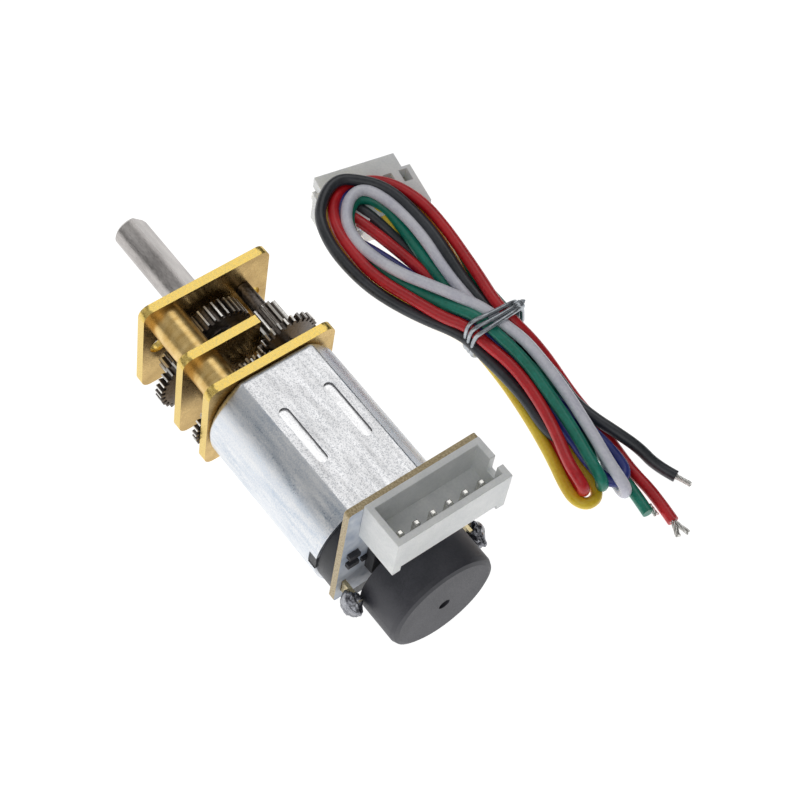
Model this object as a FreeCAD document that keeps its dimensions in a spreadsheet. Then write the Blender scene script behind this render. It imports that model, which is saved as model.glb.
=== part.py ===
"""Micro metal geared motor with a rear encoder and its loose six-wire lead set.

Frame: millimetres, +X along the output shaft towards its free end, +Z up, the origin on the
shaft axis at the front face of the front plate. The motor lies on the flat of its can.
"""
import FreeCAD, Part
import math
import os
import re
import Sketcher

V = FreeCAD.Vector
os.makedirs("parts", exist_ok=True)
doc = FreeCAD.newDocument("geared_motor")

# ---------------------------------------------------------------- driving dimensions
SIZES = {
    # gearbox frame: three brass plates held apart by two pairs of posts
    "plate_width": 12.0,
    "plate_height": 10.0,
    "plate_thickness": 0.8,
    "plate_corner": 0.9,
    "front_chamber": 4.47,
    "rear_chamber": 2.68,
    "post_radius": 1.5,
    "post_side": 3.8,
    "post_rise": 2.9,
    "mount_hole_radius": 0.8,
    "mount_hole_side": 4.5,
    "frame_screw_radius": 0.7,
    "frame_screw_head": 1.1,
    "screw_head_depth": 0.55,
    "screw_slot": 0.3,
    "motor_screw_radius": 0.55,
    "motor_screw_head": 0.95,
    "motor_screw_side": 3.2,
    "motor_screw_rise": 3.2,
    "motor_screw_length": 2.4,
    "cutout_side": 1.3,
    "cutout_floor": -0.3,
    # output shaft and the two side arbors
    "shaft_radius": 1.5,
    "shaft_flat": 1.1,
    "shaft_length": 10.0,
    "shaft_chamfer": 0.2,
    "journal_radius": 1.25,
    "journal_front": 0.7,
    "shaft_shoulder": -3.0,
    "centre_arbor_radius": 0.5,
    "centre_arbor_end": -7.95,
    "bushing_radius": 2.0,
    "bushing_boss": 0.6,
    "running_gap": 0.03,
    "arbor_radius": 0.4,
    "arbor_side": 3.5,
    "centre_distance": 3.9,
    "collar_radius": 0.65,
    # motor can
    "can_radius": 6.0,
    "can_flat": 5.0,
    "can_wall": 0.5,
    "can_length": 14.05,
    "can_edge": 0.6,
    "can_corner": 0.3,
    "groove_length": 5.6,
    "groove_width": 0.9,
    "groove_depth": 0.2,
    "groove_spacing": 4.2,
    "groove_start": -13.4,
    "rim_notch_width": 1.5,
    "rim_notch_depth": 0.8,
    "bearing_radius": 1.8,
    "bearing_length": 1.2,
    "magnet_outer": 5.4,
    "magnet_inner": 4.4,
    "magnet_front": -11.5,
    "magnet_length": 9.0,
    # rotor
    "rotor_radius": 0.5,
    "rotor_end": -31.2,
    "core_front": -12.2,
    "core_length": 7.0,
    "core_radius": 4.15,
    "shoe_inner": 3.45,
    "core_hub": 1.1,
    "arm_width": 1.4,
    "coil_side": 1.45,
    "coil_inner": 1.2,
    "coil_outer": 3.1,
    "coil_overhang": 0.9,
    "commutator_rear": -22.4,
    "commutator_length": 1.9,
    "commutator_hub": 1.0,
    "commutator_radius": 1.3,
    "segment_angle": 108.0,
    "brush_thickness": 0.15,
    "brush_height": 1.4,
    # end cap, terminals and encoder board
    "cap_length": 2.0,
    "cap_radius": 5.75,
    "cap_flat": 4.8,
    "cap_plug": 0.9,
    "cap_cavity_radius": 3.6,
    "cap_cavity_depth": 1.0,
    "rear_bearing_radius": 1.2,
    "terminal_side": 5.3,
    "terminal_thickness": 0.3,
    "terminal_width": 1.4,
    "terminal_front": -22.9,
    "terminal_rear": -28.3,
    "slot_gap": 0.05,
    "board_thickness": 0.6,
    "board_width": 12.0,
    "board_bottom": -1.9,
    "board_top": 10.8,
    "board_corner": 0.3,
    "board_hole": 1.6,
    "solder_base": 1.0,
    "solder_tip": 0.5,
    "solder_length": 2.4,
    "sensor_side": 2.9,
    "sensor_low": 1.4,
    "sensor_high": 4.3,
    "sensor_width": 1.3,
    "sensor_height": 0.95,
    "sensor_leg": 0.4,
    "sensor_leg_reach": 1.15,
    "chip_height": 0.4,
    # side-entry pin header
    "pin_count": 6,
    "pin_pitch": 1.5,
    "pin_size": 0.5,
    "pin_tip": 9.7,
    "pin_row": 2.55,
    "header_width": 10.5,
    "header_centre": -0.5,
    "header_depth": 4.0,
    "header_bottom": 7.0,
    "header_top": 11.2,
    "header_wall": 0.55,
    "header_floor": 1.0,
    "header_foot": 0.6,
    # encoder magnet
    "disc_radius": 4.75,
    "disc_front": -27.6,
    "disc_thickness": 4.2,
    "disc_edge": 0.5,
    # lead set
    "floor_level": -5.0,
    "wire_radius": 0.5,
    "tie_wire_radius": 0.2,
    "tie_start": -13.9,
    "tie_pitch": 0.75,
    "tie_half_width": 2.5,
    "tie_height": 4.6,
    "tie_centre": -20.5,
    "tie_corner": 1.6,
    "hank_top": -0.7,
    "plug_width": 9.2,
    "plug_length": 4.2,
    "plug_tongue_width": 7.6,
    "plug_tongue_length": 1.6,
    "plug_height": 3.2,
    "plug_front_x": 6.45,
    "plug_front_y": -20.7,
    "plug_turn": -11.5,
    "crimp_bore": 0.55,
    "crimp_depth": 3.0,
}

# Gear train. Each wheel and its pinion are one piece that turns on the named arbor.
MODULE = 0.2
PRESSURE_ANGLE = math.radians(20.0)
BACKLASH = 0.03
ADDENDUM = 0.9
GEARS = {
    "motor_pinion": dict(arbor="centre", pinion=12, pinion_rear=-8.68, pinion_front=-8.02),
    "first_stage_gear": dict(arbor="left", wheel=27, pinion=12, wheel_rear=-8.65,
                             wheel_front=-8.07, pinion_front=-7.22),
    "second_stage_gear": dict(arbor="centre", wheel=27, pinion=13, wheel_rear=-7.9,
                              wheel_front=-7.3, pinion_front=-6.4),
    "third_stage_gear": dict(arbor="right", wheel=26, pinion=11, wheel_rear=-7.15,
                             wheel_front=-6.5, pinion_front=-3.7),
    "fourth_stage_gear": dict(arbor="centre", wheel=28, pinion=10, wheel_rear=-5.1,
                              wheel_front=-4.25, pinion_front=-3.15),
    "fifth_stage_gear": dict(arbor="left", wheel=29, pinion=10, wheel_rear=-4.1,
                             wheel_front=-3.25, pinion_front=-1.2),
    "output_gear": dict(arbor="centre", wheel=29, wheel_rear=-2.9, wheel_front=-1.3),
}
for gear_name, gear in GEARS.items():
    for key, value in gear.items():
        if key != "arbor":
            SIZES[f"{gear_name}_{key}"] = value

sheet = doc.addObject("Spreadsheet::Sheet", "Sizes")
for row, (alias, value) in enumerate(SIZES.items(), start=1):
    sheet.set(f"A{row}", alias)
    sheet.set(f"B{row}", str(value))
    sheet.setAlias(f"B{row}", alias)
doc.recompute()

kept = []


def size(alias):
    """A driving dimension, read back from the sheet."""
    return float(sheet.get(alias))


def formula(text):
    """An expression in which every driving dimension is read from the sheet."""
    return re.sub(r"[a-z_]{3,}", lambda m: f"Sizes.{m[0]}" if m[0] in SIZES else m[0], str(text))


def number(text):
    """The value of an expression of driving dimensions, for a first position."""
    holder.setExpression("Value", formula(text))
    holder.recompute()
    return float(holder.Value)


holder = doc.addObject("App::FeaturePython", "Calculator")
holder.addProperty("App::PropertyFloat", "Value")


def bind(piece, **expressions):
    """Tie properties of a piece to the sheet; base_x stands for Placement.Base.x."""
    for name, text in expressions.items():
        path = name.replace("base_", "Placement.Base.") if name.startswith("base_") else name
        piece.setExpression(path, formula(text))
    return piece


def keep(piece, label):
    """Name a finished sub-part, which is written to a file of that name."""
    piece.Label = label
    if piece.Label != label:
        raise RuntimeError(f"{label}: two sub-parts have this name")
    kept.append(piece)
    return piece


# ---------------------------------------------------------------- sketched bodies
def body(label, **position):
    """An empty body at a bound position."""
    piece = doc.addObject("PartDesign::Body", f"{label}_body")
    bind(piece, **position)
    return piece


def sketch(piece, plane="YZ_Plane", offset="0"):
    """A sketch on one of the body's origin planes, lifted by an offset along its normal."""
    drawing = piece.newObject("Sketcher::SketchObject", "Sketch")
    origin_plane = next(f for f in piece.Origin.OriginFeatures if f.Role == plane)
    drawing.AttachmentSupport = (origin_plane, "")
    drawing.MapMode = "FlatFace"
    drawing.setExpression("AttachmentOffset.Base.z", formula(offset))
    return drawing


def fix(drawing, kind, element, vertex, text):
    """Hold one coordinate of a point at an expression, measured from the sketch origin."""
    if text == "0":
        axis = -2 if kind == "DistanceX" else -1
        drawing.addConstraint(Sketcher.Constraint("PointOnObject", element, vertex, axis))
        return
    index = drawing.addConstraint(
        Sketcher.Constraint(kind, -1, 1, element, vertex, number(text)))
    drawing.setExpression(f"Constraints[{index}]", formula(text))


def outline(drawing, corners):
    """A closed outline of straight lines through corners given as expressions."""
    first = drawing.GeometryCount
    points = [V(number(a), number(b), 0) for a, b in corners]
    for start, end in zip(points, points[1:] + points[:1]):
        drawing.addGeometry(Part.LineSegment(start, end), False)
    for i, (a, b) in enumerate(corners):
        follower = first + (i - 1) % len(corners)
        drawing.addConstraint(Sketcher.Constraint("Coincident", follower, 2, first + i, 1))
        fix(drawing, "DistanceX", first + i, 1, a)
        fix(drawing, "DistanceY", first + i, 1, b)


def rectangle(drawing, low_a, high_a, low_b, high_b):
    """An upright rectangle between bound limits."""
    outline(drawing, [(low_a, low_b), (high_a, low_b), (high_a, high_b), (low_a, high_b)])


def circle(drawing, across, up, radius):
    """A circle with a bound centre and radius."""
    centre = V(number(across), number(up), 0)
    index = drawing.addGeometry(Part.Circle(centre, V(0, 0, 1), number(radius)), False)
    if across == up == "0":
        drawing.addConstraint(Sketcher.Constraint("Coincident", index, 3, -1, 1))
    else:
        fix(drawing, "DistanceX", index, 3, across)
        fix(drawing, "DistanceY", index, 3, up)
    dimension = drawing.addConstraint(Sketcher.Constraint("Radius", index, number(radius)))
    drawing.setExpression(f"Constraints[{dimension}]", formula(radius))


def rounded_rectangle(drawing, width, height, corner, across="0", up="0"):
    """A rectangle with four equal rounded corners about a bound centre."""
    half_width, half_height = number(width) / 2, number(height) / 2
    radius, middle = number(corner), V(number(across), number(up), 0)
    first = drawing.GeometryCount
    inner = [V(a * (half_width - radius), b * (half_height - radius), 0)
             for a, b in ((1, -1), (1, 1), (-1, 1), (-1, -1))]
    for i, centre in enumerate(inner):
        before = inner[i - 1]
        side = V(math.sin(i * math.pi / 2), -math.cos(i * math.pi / 2), 0) * radius
        start, end = middle + before + side, middle + centre + side
        drawing.addGeometry(Part.LineSegment(start, end), False)
        ring = Part.Circle(middle + centre, V(0, 0, 1), radius)
        turn = (i - 1) * math.pi / 2
        drawing.addGeometry(Part.ArcOfCircle(ring, turn, turn + math.pi / 2), False)
    for i in range(4):
        line, arc = first + 2 * i, first + 2 * i + 1
        following = first + (2 * i + 2) % 8
        drawing.addConstraint(Sketcher.Constraint("Tangent", line, 2, arc, 1))
        drawing.addConstraint(Sketcher.Constraint("Tangent", arc, 2, following, 1))
        if i:
            drawing.addConstraint(Sketcher.Constraint("Equal", first + 1, arc))
    for i, kind in ((0, "Horizontal"), (1, "Vertical"), (2, "Horizontal"), (3, "Vertical")):
        drawing.addConstraint(Sketcher.Constraint(kind, first + 2 * i))
    dimension = drawing.addConstraint(Sketcher.Constraint("Radius", first + 1, radius))
    drawing.setExpression(f"Constraints[{dimension}]", formula(corner))
    fix(drawing, "DistanceX", first + 2, 1, f"({across}) + ({width}) / 2")
    fix(drawing, "DistanceX", first + 6, 1, f"({across}) - ({width}) / 2")
    fix(drawing, "DistanceY", first, 1, f"({up}) - ({height}) / 2")
    fix(drawing, "DistanceY", first + 4, 1, f"({up}) + ({height}) / 2")


def double_flat(drawing, radius, flat):
    """A circle with its top and bottom cut flat: the outline of a small motor can."""
    r, f = number(radius), number(flat)
    corner = math.asin(f / r)
    half = r * math.cos(corner)
    ring = Part.Circle(V(0, 0, 0), V(0, 0, 1), r)
    drawing.addGeometry(Part.LineSegment(V(half, f, 0), V(-half, f, 0)), False)
    drawing.addGeometry(Part.ArcOfCircle(ring, math.pi - corner, math.pi + corner), False)
    drawing.addGeometry(Part.LineSegment(V(-half, -f, 0), V(half, -f, 0)), False)
    drawing.addGeometry(Part.ArcOfCircle(ring, -corner, corner), False)
    for i in range(4):
        drawing.addConstraint(Sketcher.Constraint("Coincident", i, 2, (i + 1) % 4, 1))
    for arc in (1, 3):
        drawing.addConstraint(Sketcher.Constraint("Coincident", arc, 3, -1, 1))
    for line in (0, 2):
        drawing.addConstraint(Sketcher.Constraint("Horizontal", line))
    index = drawing.addConstraint(Sketcher.Constraint("Radius", 1, r))
    drawing.setExpression(f"Constraints[{index}]", formula(radius))
    fix(drawing, "DistanceY", 0, 1, flat)
    fix(drawing, "DistanceY", 2, 1, f"-({flat})")


def pad(piece, drawing, length):
    """Extrude a sketch along its normal."""
    feature = piece.newObject("PartDesign::Pad", "Pad")
    feature.Profile = drawing
    feature.setExpression("Length", formula(length))
    return feature


def pocket(piece, drawing, depth, along_normal=True):
    """Cut a sketch into the body, along its normal or against it."""
    feature = piece.newObject("PartDesign::Pocket", "Pocket")
    feature.Profile = drawing
    feature.Reversed = along_normal
    feature.setExpression("Length", formula(depth))
    doc.recompute()
    before = feature.BaseFeature.Shape.Volume
    if feature.Shape.Volume > before - 1e-6:
        raise RuntimeError(f"{piece.Name}: a pocket cuts nothing")
    return feature


def round_edges(piece, radius, wanted):
    """Round the body's edges whose two end stations along X satisfy a test."""
    doc.recompute()
    base = piece.Tip
    edges = [f"Edge{i}" for i, edge in enumerate(base.Shape.Edges, start=1)
             if wanted((edge.Vertexes[0].X, edge.Vertexes[-1].X))]
    feature = piece.newObject("PartDesign::Fillet", "Rounded")
    feature.Base = (base, edges)
    feature.setExpression("Radius", formula(radius))
    doc.recompute()
    return feature


def revolve(piece, drawing):
    """Turn a sketched half-profile once around the body's X axis."""
    feature = piece.newObject("PartDesign::Revolution", "Turning")
    feature.Profile = drawing
    axis = next(f for f in piece.Origin.OriginFeatures if f.Role == "X_Axis")
    feature.ReferenceAxis = (axis, [""])
    feature.Angle = 360
    return feature


def turned(label, profile, **position):
    """A turned piece: a closed (along, radius) profile revolved about X."""
    piece = body(label, **position)
    drawing = sketch(piece, "XY_Plane")
    outline(drawing, profile)
    revolve(piece, drawing)
    return piece


def polar(piece, features, count):
    """Repeat features evenly around the body's X axis."""
    pattern = piece.newObject("PartDesign::PolarPattern", "Around")
    pattern.Originals = features
    pattern.Axis = (next(f for f in piece.Origin.OriginFeatures if f.Role == "X_Axis"), [""])
    pattern.Angle = 360
    pattern.Occurrences = count
    piece.Tip = pattern
    return pattern


# ---------------------------------------------------------------- primitives
ALONG_X = FreeCAD.Rotation(V(0, 1, 0), 90)


def rod(radius, rear, front, side="0", rise="0"):
    """A round bar along X between two bound stations."""
    piece = doc.addObject("Part::Cylinder", "Rod")
    piece.Placement.Rotation = ALONG_X
    return bind(piece, Radius=radius, Height=f"({front}) - ({rear})", base_x=rear,
                base_y=side, base_z=rise)


def cone(rear_radius, front_radius, rear, front, side="0", rise="0"):
    """A round taper along X between two bound stations."""
    piece = doc.addObject("Part::Cone", "Taper")
    piece.Placement.Rotation = ALONG_X
    return bind(piece, Radius1=rear_radius, Radius2=front_radius,
                Height=f"({front}) - ({rear})", base_x=rear, base_y=side, base_z=rise)


def block(x_low, x_high, y_low, y_high, z_low, z_high):
    """A rectangular block between bound limits."""
    piece = doc.addObject("Part::Box", "Block")
    return bind(piece, Length=f"({x_high}) - ({x_low})", Width=f"({y_high}) - ({y_low})",
                Height=f"({z_high}) - ({z_low})", base_x=x_low, base_y=y_low, base_z=z_low)


def group(*pieces):
    """Separate solids kept together as one sub-part."""
    piece = doc.addObject("Part::Compound", "Group")
    piece.Links = list(pieces)
    return piece


def fused(*pieces):
    """Pieces joined into one solid."""
    piece = doc.addObject("Part::MultiFuse", "Joined")
    piece.Shapes = list(pieces)
    piece.Refine = True
    return piece


def less(base, *tools):
    """A piece with tools cut out of it."""
    piece = doc.addObject("Part::Cut", "Trimmed")
    piece.Base = base
    piece.Tool = tools[0] if len(tools) == 1 else group(*tools)
    return piece


def copies(piece, *turns):
    """The same piece repeated at the given turns about the shaft axis."""
    links = []
    for turn in turns:
        twin = doc.addObject("Part::Feature", "Copy")
        doc.recompute()
        twin.Shape = piece.Shape.copy()
        twin.Placement = FreeCAD.Placement(V(), FreeCAD.Rotation(V(1, 0, 0), turn))
        links.append(twin)
    return links


# ---------------------------------------------------------------- gears
ARBORS = {"centre": (0.0, 0.0)}
arbor_rise = math.sqrt(size("centre_distance") ** 2 - size("arbor_side") ** 2)
ARBORS["left"] = (size("arbor_side"), -arbor_rise)
ARBORS["right"] = (-size("arbor_side"), arbor_rise)
RUNS_ON = {"left": "arbor_radius", "right": "arbor_radius", "centre": "centre_arbor_radius"}


def involute(angle):
    """The involute function of a pressure angle."""
    return math.tan(angle) - angle


def profile_shift(pinion_teeth):
    """The shift that keeps a small pinion from being undercut; its wheel gets the opposite."""
    return (17 - pinion_teeth) / 17


def toothed_disc(teeth, shift, phase, rear, front, centre):
    """An involute gear along X, with the middle of one tooth at the phase angle from +Y."""
    pitch = MODULE * teeth / 2
    base = pitch * math.cos(PRESSURE_ANGLE)
    tip = pitch + MODULE * (ADDENDUM + shift)
    root = pitch - MODULE * (1.25 - shift)
    thickness = MODULE * (math.pi / 2 + 2 * shift * math.tan(PRESSURE_ANGLE)) - BACKLASH

    def half_angle(radius):
        pressure = math.acos(min(1.0, base / radius))
        return thickness / (2 * pitch) + involute(PRESSURE_ANGLE) - involute(pressure)

    def place(radius, angle):
        return V(rear, centre[0] + radius * math.cos(angle), centre[1] + radius * math.sin(angle))

    lowest = max(base, root)
    radii = [lowest + (tip - lowest) * step / 3 for step in range(4)]
    if root < base:
        radii.insert(0, root)
    step = 2 * math.pi / teeth
    edges = []
    for tooth in range(teeth):
        middle = phase + tooth * step
        rising = [place(r, middle - half_angle(r)) for r in radii]
        falling = [place(r, middle + half_angle(r)) for r in reversed(radii)]
        following = place(radii[0], middle + step - half_angle(radii[0]))
        edges += [Part.LineSegment(a, b).toShape() for a, b in zip(rising, rising[1:])]
        edges.append(Part.Arc(rising[-1], place(tip, middle), falling[0]).toShape())
        edges += [Part.LineSegment(a, b).toShape() for a, b in zip(falling, falling[1:])]
        edges.append(Part.Arc(falling[-1], place(root, middle + step / 2), following).toShape())
    return Part.Face(Part.Wire(edges)).extrude(V(front - rear, 0, 0))


def direction(start, end):
    """The angle from one arbor to another, from +Y towards +Z."""
    a, b = ARBORS[start], ARBORS[end]
    return math.atan2(b[1] - a[1], b[0] - a[0])


def meshed_phase(teeth, driver_teeth, driver_phase, towards):
    """The phase that puts a gap of the driven gear opposite a tooth of its driver."""
    tooth_offset = (towards - driver_phase) * driver_teeth / (2 * math.pi)
    return towards + math.pi - (0.5 - tooth_offset) * 2 * math.pi / teeth


def build_gears():
    """Every gear of the train, in order from the motor, phased so that each pair is in mesh."""
    driver = None
    phase = 0.0
    for name, gear in GEARS.items():
        centre = ARBORS[gear["arbor"]]
        solids = []
        if "wheel" in gear:
            towards = direction(GEARS[driver]["arbor"], gear["arbor"])
            driver_teeth = int(size(f"{driver}_pinion"))
            wheel_teeth = int(size(f"{name}_wheel"))
            phase = meshed_phase(wheel_teeth, driver_teeth, phase, towards)
            rear, front = size(f"{name}_wheel_rear"), size(f"{name}_wheel_front")
            shift = -profile_shift(driver_teeth)
            solids.append(toothed_disc(wheel_teeth, shift, phase, rear, front, centre))
        if "pinion" in gear:
            teeth = int(size(f"{name}_pinion"))
            rear = size(f"{name}_wheel_front" if "wheel" in gear else f"{name}_pinion_rear")
            front = size(f"{name}_pinion_front")
            solids.append(toothed_disc(teeth, profile_shift(teeth), phase, rear, front, centre))
        solid = solids[0]
        if len(solids) == 2:
            solid = solid.fuse(solids[1])
        if name == "third_stage_gear":
            collar_front = -size("plate_thickness") - 2 * size("running_gap")
            start = size(f"{name}_pinion_front")
            collar = Part.makeCylinder(size("collar_radius"), collar_front - start,
                                       V(start, *centre), V(1, 0, 0))
            solid = solid.fuse(collar)
        bore = size(RUNS_ON[gear["arbor"]]) + size("running_gap")
        if name == "output_gear":
            bore = size("journal_radius")
        if name == "motor_pinion":
            bore = size("rotor_radius")
        box = solid.BoundBox
        hole = Part.makeCylinder(bore, box.XLength + 2, V(box.XMin - 1, *centre), V(1, 0, 0))
        feature = doc.addObject("Part::Feature", name)
        feature.Shape = solid.cut(hole)
        keep(feature, name)
        driver = name


# ---------------------------------------------------------------- gearbox frame
FRONT_PLATE = "-plate_thickness"
MIDDLE_PLATE = "-plate_thickness * 2 - front_chamber"
REAR_PLATE = "-plate_thickness * 3 - front_chamber - rear_chamber"
CAN_FRONT = REAR_PLATE
CAN_REAR = f"{CAN_FRONT} - can_length"
CAP_REAR = f"{CAN_REAR} - cap_length"
BOARD_REAR = f"{CAP_REAR} - board_thickness"
RISE = "sqrt(centre_distance * centre_distance - arbor_side * arbor_side)"


def build_plate(label, rear, holes):
    """One brass plate: a rounded rectangle with round holes at (side, rise, radius)."""
    piece = body(label, base_x=rear)
    drawing = sketch(piece)
    rounded_rectangle(drawing, "plate_width", "plate_height", "plate_corner")
    pad(piece, drawing, "plate_thickness")
    drawing = sketch(piece)
    for side, rise, radius in holes:
        circle(drawing, side, rise, radius)
    pocket(piece, drawing, "plate_thickness")
    return piece


def build_plates():
    """The three plates of the gearbox frame."""
    posts = [("post_side", "post_rise"), ("-post_side", "-post_rise")]
    screw_holes = [(side, rise, "frame_screw_radius") for side, rise in posts]
    left = ("arbor_side", f"-{RISE}", "arbor_radius")
    right = ("-arbor_side", RISE, "arbor_radius")
    threaded = [("mount_hole_side", "0", "mount_hole_radius"),
                ("-mount_hole_side", "0", "mount_hole_radius")]
    front = build_plate("front_plate", FRONT_PLATE,
                        screw_holes + threaded + [left, right, ("0", "0", "bushing_radius")])
    heads = [cone("frame_screw_radius", "frame_screw_head", "-screw_head_depth", "0", *post)
             for post in posts]
    keep(less(front, *heads), "front_plate")

    middle = build_plate("middle_plate", MIDDLE_PLATE,
                         screw_holes + [left, ("0", "0", "centre_arbor_radius + running_gap")])
    drawing = sketch(middle)
    rectangle(drawing, "-plate_width", "-cutout_side", "cutout_floor", "plate_height")
    pocket(middle, drawing, "plate_thickness")
    keep(middle, "middle_plate")

    motor_screws = [("motor_screw_side", "-motor_screw_rise"),
                    ("-motor_screw_side", "motor_screw_rise")]
    rear = build_plate("rear_plate", REAR_PLATE,
                       screw_holes + [left, right, ("0", "0", "bearing_radius")]
                       + [(side, rise, "motor_screw_radius") for side, rise in motor_screws])
    face = f"{REAR_PLATE} + plate_thickness"
    heads = [cone("motor_screw_radius", "motor_screw_head", f"{face} - screw_head_depth", face,
                  *place) for place in motor_screws]
    keep(less(rear, *heads), "rear_plate")

    for label, rear_end, front_end in (
            ("front_posts", f"{MIDDLE_PLATE} + plate_thickness", FRONT_PLATE),
            ("rear_posts", f"{REAR_PLATE} + plate_thickness", MIDDLE_PLATE)):
        tubes = [less(rod("post_radius", rear_end, front_end, *post),
                      rod("frame_screw_radius", rear_end, front_end, *post)) for post in posts]
        keep(group(*tubes), label)

    screws = []
    for side, rise in posts:
        shank = rod("frame_screw_radius", REAR_PLATE, "-screw_head_depth", side, rise)
        head = cone("frame_screw_radius", "frame_screw_head", "-screw_head_depth", "0",
                    side, rise)
        slot = block("-screw_slot", "1", f"{side} - frame_screw_head", f"{side} + frame_screw_head",
                     f"{rise} - screw_slot / 2", f"{rise} + screw_slot / 2")
        screws.append(less(fused(shank, head), slot))
    keep(group(*screws), "gearbox_screws")

    screws = []
    for side, rise in motor_screws:
        shank = rod("motor_screw_radius", f"{face} - motor_screw_length",
                    f"{face} - screw_head_depth", side, rise)
        head = cone("motor_screw_radius", "motor_screw_head", f"{face} - screw_head_depth",
                    face, side, rise)
        slot = block(f"{face} - screw_slot", f"{face} + 1", f"{side} - motor_screw_head",
                     f"{side} + motor_screw_head", f"{rise} - screw_slot / 2",
                     f"{rise} + screw_slot / 2")
        screws.append(less(fused(shank, head), slot))
    keep(group(*screws), "motor_screws")


# ---------------------------------------------------------------- output shaft and arbors
def build_shafts():
    """The D-shaped output shaft, its bushing and the two fixed side arbors."""
    end = "centre_arbor_end"
    shaft = turned("output_shaft", [
        ("0", "0"),
        (f"shaft_length - {end}", "0"),
        (f"shaft_length - {end}", "shaft_radius - shaft_chamfer"),
        (f"shaft_length - {end} - shaft_chamfer", "shaft_radius"),
        (f"journal_front - {end}", "shaft_radius"),
        (f"journal_front - {end}", "journal_radius"),
        (f"shaft_shoulder - {end}", "journal_radius"),
        (f"shaft_shoulder - {end}", "centre_arbor_radius"),
        ("0", "centre_arbor_radius")], base_x=end)
    flat = block("journal_front", "shaft_length + 1", "-2 * shaft_radius", "2 * shaft_radius",
                 "shaft_flat", "2 * shaft_radius")
    tool = group(flat)
    tool.Placement = FreeCAD.Placement(V(), FreeCAD.Rotation(V(1, 0, 0), 45))
    keep(less(shaft, tool), "output_shaft")

    collar = rod("bushing_radius", FRONT_PLATE, "bushing_boss")
    hole = rod("journal_radius + running_gap", FRONT_PLATE, "bushing_boss")
    keep(less(collar, hole), "output_bushing")

    rear = f"{REAR_PLATE} + 0.2"
    keep(rod("arbor_radius", rear, "-0.1", "arbor_side", f"-{RISE}"), "left_arbor")
    keep(rod("arbor_radius", rear, "-0.1", "-arbor_side", RISE), "right_arbor")


# ---------------------------------------------------------------- motor
def build_can():
    """The drawn steel can with its pressed grooves, bearing hole and rim notches."""
    piece = body("motor_can", base_x=CAN_REAR)
    drawing = sketch(piece)
    double_flat(drawing, "can_radius", "can_flat")
    pad(piece, drawing, "can_length")
    round_edges(piece, "can_corner", lambda x: abs(x[0] - x[1]) > 1)
    top = size("can_length")
    round_edges(piece, "can_edge", lambda x: abs(x[0] - top) + abs(x[1] - top) < 1e-6)
    drawing = sketch(piece)
    double_flat(drawing, "can_radius - can_wall", "can_flat - can_wall")
    pocket(piece, drawing, "can_length - can_wall")
    drawing = sketch(piece)
    circle(drawing, "0", "0", "bearing_radius")
    for side, rise in (("motor_screw_side", "-motor_screw_rise"),
                       ("-motor_screw_side", "motor_screw_rise")):
        circle(drawing, side, rise, "motor_screw_radius")
    pocket(piece, drawing, "can_length")
    middle = f"groove_start - groove_length / 2 - ({CAN_REAR})"
    for level, into in (("can_flat - groove_depth", True), ("-can_flat", True)):
        drawing = sketch(piece, "XY_Plane", level)
        for side in ("groove_spacing / 2", "-groove_spacing / 2"):
            rounded_rectangle(drawing, "groove_length", "groove_width",
                              "groove_width / 2 - 0.01", middle, side)
        pocket(piece, drawing, "groove_depth", into)
    drawing = sketch(piece)
    rectangle(drawing, "-2 * can_radius", "2 * can_radius", "-rim_notch_width / 2",
              "rim_notch_width / 2")
    pocket(piece, drawing, "rim_notch_depth")
    keep(piece, "motor_can")


def build_bearings():
    """The sintered bushes that carry the rotor at the front and the rear."""
    for label, radius, rear, front in (
            ("front_bearing", "bearing_radius", f"{CAN_FRONT} - can_wall",
             f"{CAN_FRONT} - can_wall + bearing_length"),
            ("rear_bearing", "rear_bearing_radius", CAP_REAR,
             f"{CAN_REAR} - cap_cavity_depth")):
        hole = rod("rotor_radius + running_gap", rear, front)
        keep(less(rod(radius, rear, front), hole), label)


def build_magnets():
    """Two arc magnets bonded to the round walls of the can."""
    rear, front = "magnet_front - magnet_length", "magnet_front"
    pieces = []
    for side in (1, -1):
        ring = less(rod("magnet_outer", rear, front), rod("magnet_inner", rear, front))
        arc = doc.addObject("Part::Common", "Arc")
        arc.Base = ring
        limits = ("0", "can_radius") if side > 0 else ("-can_radius", "0")
        arc.Tool = block(rear, front, *limits, "-can_flat + 1.4", "can_flat - 1.4")
        pieces.append(arc)
    keep(group(*pieces), "stator_magnets")


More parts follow.
